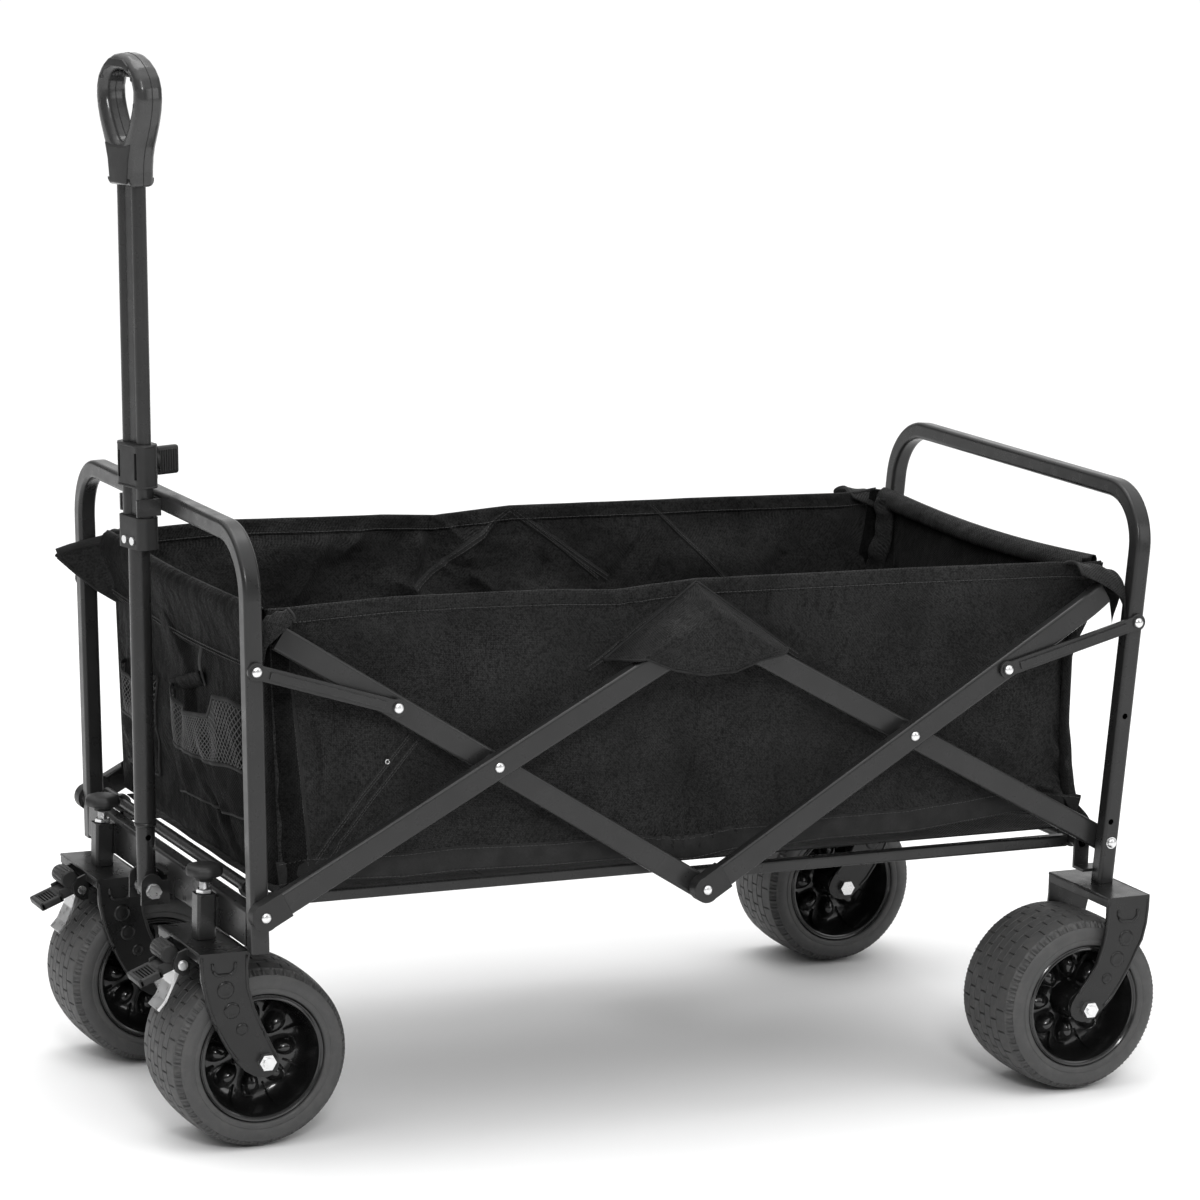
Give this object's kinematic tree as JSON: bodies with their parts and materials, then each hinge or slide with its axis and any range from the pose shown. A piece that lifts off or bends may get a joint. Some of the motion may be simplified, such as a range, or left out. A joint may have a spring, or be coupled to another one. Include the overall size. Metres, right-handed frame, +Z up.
{
  "type": "folding pull wagon",
  "caption": "Folding fabric wagon with crossed side arms, hoop ends, swivelling front wheels with foot brakes, fixed rear wheels and a tilting, sliding pull handle.",
  "frame": {"origin": "centre of the open wagon's outer box, on the ground", "axes": "+X towards the pull handle end, +Y to the wagon's left, +Z up"},
  "size_m": [1.0538, 0.6456, 1.025],
  "materials": {
    "frame_paint": "satin black powder coat",
    "zinc": "bright zinc plate",
    "plastic": "fine moulded grain, black",
    "hub_plastic": "glossy black moulding",
    "tyre_rubber": "matte black",
    "fabric": "black coated oxford weave"
  },
  "bodies": {
    "front_frame": {"front_hoop": "frame_paint", "front_base_bar": "frame_paint", "front_floor_tube": "frame_paint", "caster_stems": "frame_paint", "handle_bracket": "frame_paint", "handle_clip": "frame_paint", "basket_front": "fabric", "basket_side_left": "fabric", "basket_side_right": "fabric", "basket_floor": "fabric"},
    "rear_frame": {"rear_hoop": "frame_paint", "rear_floor_tube": "frame_paint", "rear_fork_left": "frame_paint", "rear_fork_right": "frame_paint", "rear_fasteners": "zinc", "basket_rear": "fabric"},
    "outer_front_arms": {"front_outer_arm_left": "frame_paint", "front_outer_arm_right": "frame_paint", "front_arm_caps": "plastic", "front_arm_rivets": "zinc"},
    "inner_front_arms": {"front_inner_arm_left": "frame_paint", "front_inner_arm_right": "frame_paint"},
    "inner_rear_arms": {"rear_inner_arm_left": "frame_paint", "rear_inner_arm_right": "frame_paint"},
    "outer_rear_arms": {"rear_outer_arm_left": "frame_paint", "rear_outer_arm_right": "frame_paint", "rear_arm_caps": "plastic", "rear_arm_rivets": "zinc"},
    "front_links": {"front_links": "frame_paint"},
    "rear_links": {"rear_links": "frame_paint"},
    "front_rails": {"front_rails": "frame_paint"},
    "rear_rails": {"rear_rails": "frame_paint"},
    "handle": {"handle_lower_tube": "frame_paint", "handle_sleeve": "frame_paint", "handle_collar": "plastic", "handle_clamp": "plastic", "handle_fasteners": "zinc"},
    "handle_slide": {"handle_slide_tube": "frame_paint", "grip_front_shell": "plastic", "grip_rear_shell": "plastic"},
    "clamp_knob": {"clamp_knob": "plastic"},
    "caster_left": {"caster_fork_left": "frame_paint", "caster_fasteners_left": "zinc"},
    "front_wheel_left": {"tyre_front_left": "tyre_rubber", "hub_front_left": "hub_plastic"},
    "rear_wheel_left": {"tyre_rear_left": "tyre_rubber", "hub_rear_left": "hub_plastic"},
    "brake_left": {"brake_pedal_left": "plastic", "brake_shoe_left": "zinc"},
    "caster_knob_left": {"caster_knob_left": "plastic"},
    "caster_right": {"caster_fork_right": "frame_paint", "caster_fasteners_right": "zinc"},
    "front_wheel_right": {"tyre_front_right": "tyre_rubber", "hub_front_right": "hub_plastic"},
    "rear_wheel_right": {"tyre_rear_right": "tyre_rubber", "hub_rear_right": "hub_plastic"},
    "brake_right": {"brake_pedal_right": "plastic", "brake_shoe_right": "zinc"},
    "caster_knob_right": {"caster_knob_right": "plastic"}
  },
  "joints": [
    {"name": "fold", "type": "hinge", "parent": "front_frame", "child": "outer_front_arms", "pos_m": [0.4273, 0, 0.2453], "axis": [0, 1, 0], "range_deg": [0, 47.05], "deforming": ["basket_side_left", "basket_side_right", "basket_floor", "basket_front", "basket_rear"]},
    {"name": "front_cross", "type": "hinge", "parent": "outer_front_arms", "child": "inner_front_arms", "pos_m": [0.19392, 0, 0.37173], "axis": [0, 1, 0], "range_deg": [-92.04, 0]},
    {"name": "top_joint", "type": "hinge", "parent": "outer_front_arms", "child": "inner_rear_arms", "pos_m": [-0.0303, 0, 0.4932], "axis": [0, 1, 0], "range_deg": [-94.7, 0]},
    {"name": "rear_cross", "type": "hinge", "parent": "inner_rear_arms", "child": "outer_rear_arms", "pos_m": [-0.25452, 0, 0.37173], "axis": [0, 1, 0], "range_deg": [0, 92.04]},
    {"name": "rear_leg_joint", "type": "hinge", "parent": "inner_rear_arms", "child": "rear_frame", "pos_m": [-0.4879, 0, 0.2453], "axis": [0, 1, 0], "range_deg": [0, 47.65]},
    {"name": "front_link_joint", "type": "hinge", "parent": "front_frame", "child": "front_links", "pos_m": [0.43618, 0, 0.4764], "axis": [0, 1, 0], "range_deg": [0, 89.05]},
    {"name": "rear_link_joint", "type": "hinge", "parent": "rear_frame", "child": "rear_links", "pos_m": [-0.50381, 0, 0.4728], "axis": [0, 1, 0], "range_deg": [-85, 0]},
    {"name": "front_rail_joint", "type": "hinge", "parent": "front_frame", "child": "front_rails", "pos_m": [0.4157, 0, 0.254], "axis": [0, 1, 0], "range_deg": [0, 75.45]},
    {"name": "rear_rail_joint", "type": "hinge", "parent": "rear_frame", "child": "rear_rails", "pos_m": [-0.4763, 0, 0.238], "axis": [0, 1, 0], "range_deg": [-75.45, 0]},
    {"name": "caster_swivel_left", "type": "hinge", "parent": "front_frame", "child": "caster_left", "pos_m": [0.4477, 0.149, 0.198], "axis": [0, 0, 1], "continuous": true},
    {"name": "front_wheel_spin_left", "type": "hinge", "parent": "caster_left", "child": "front_wheel_left", "pos_m": [0.4047, 0.149, 0.09], "axis": [0, 1, 0], "continuous": true},
    {"name": "rear_wheel_spin_left", "type": "hinge", "parent": "rear_frame", "child": "rear_wheel_left", "pos_m": [-0.4369, 0.2568, 0.09], "axis": [0, 1, 0], "continuous": true},
    {"name": "brake_press_left", "type": "hinge", "parent": "caster_left", "child": "brake_left", "pos_m": [0.4772, 0.149, 0.182], "axis": [0, 1, 0], "range_deg": [0, 11]},
    {"name": "caster_knob_turn_left", "type": "hinge", "parent": "front_frame", "child": "caster_knob_left", "pos_m": [0.4477, 0.149, 0.26], "axis": [0, 0, 1], "continuous": true},
    {"name": "caster_swivel_right", "type": "hinge", "parent": "front_frame", "child": "caster_right", "pos_m": [0.4477, -0.149, 0.198], "axis": [0, 0, 1], "continuous": true},
    {"name": "front_wheel_spin_right", "type": "hinge", "parent": "caster_right", "child": "front_wheel_right", "pos_m": [0.4047, -0.149, 0.09], "axis": [0, 1, 0], "continuous": true},
    {"name": "rear_wheel_spin_right", "type": "hinge", "parent": "rear_frame", "child": "rear_wheel_right", "pos_m": [-0.4369, -0.2568, 0.09], "axis": [0, 1, 0], "continuous": true},
    {"name": "brake_press_right", "type": "hinge", "parent": "caster_right", "child": "brake_right", "pos_m": [0.4772, -0.149, 0.182], "axis": [0, 1, 0], "range_deg": [0, 11]},
    {"name": "caster_knob_turn_right", "type": "hinge", "parent": "front_frame", "child": "caster_knob_right", "pos_m": [0.4477, -0.149, 0.26], "axis": [0, 0, 1], "continuous": true},
    {"name": "handle_tilt", "type": "hinge", "parent": "front_frame", "child": "handle", "pos_m": [0.4527, 0, 0.214], "axis": [0, 1, 0], "range_deg": [0, 85]},
    {"name": "handle_extend", "type": "slide", "parent": "handle", "child": "handle_slide", "axis": [0.0314, 0, 0.9995], "range_m": [-0.04, 0.02]},
    {"name": "clamp_knob_turn", "type": "hinge", "parent": "handle", "child": "clamp_knob", "pos_m": [0.43656, -0.00624, 0.63471], "axis": [0.9777, 0.2079, -0.0307], "range_deg": [-180, 0]}
  ],
  "couplings": [
    {"joint": "front_cross", "follows": "fold", "ratio": -1.9435},
    {"joint": "top_joint", "follows": "fold", "ratio": -2},
    {"joint": "rear_cross", "follows": "fold", "ratio": 1.9435},
    {"joint": "rear_leg_joint", "follows": "fold", "ratio": 1},
    {"joint": "front_link_joint", "follows": "fold", "ratio": 1.8799},
    {"joint": "rear_link_joint", "follows": "fold", "ratio": -1.7938},
    {"joint": "front_rail_joint", "follows": "fold", "ratio": 1.5909},
    {"joint": "rear_rail_joint", "follows": "fold", "ratio": -1.5909}
  ]
}
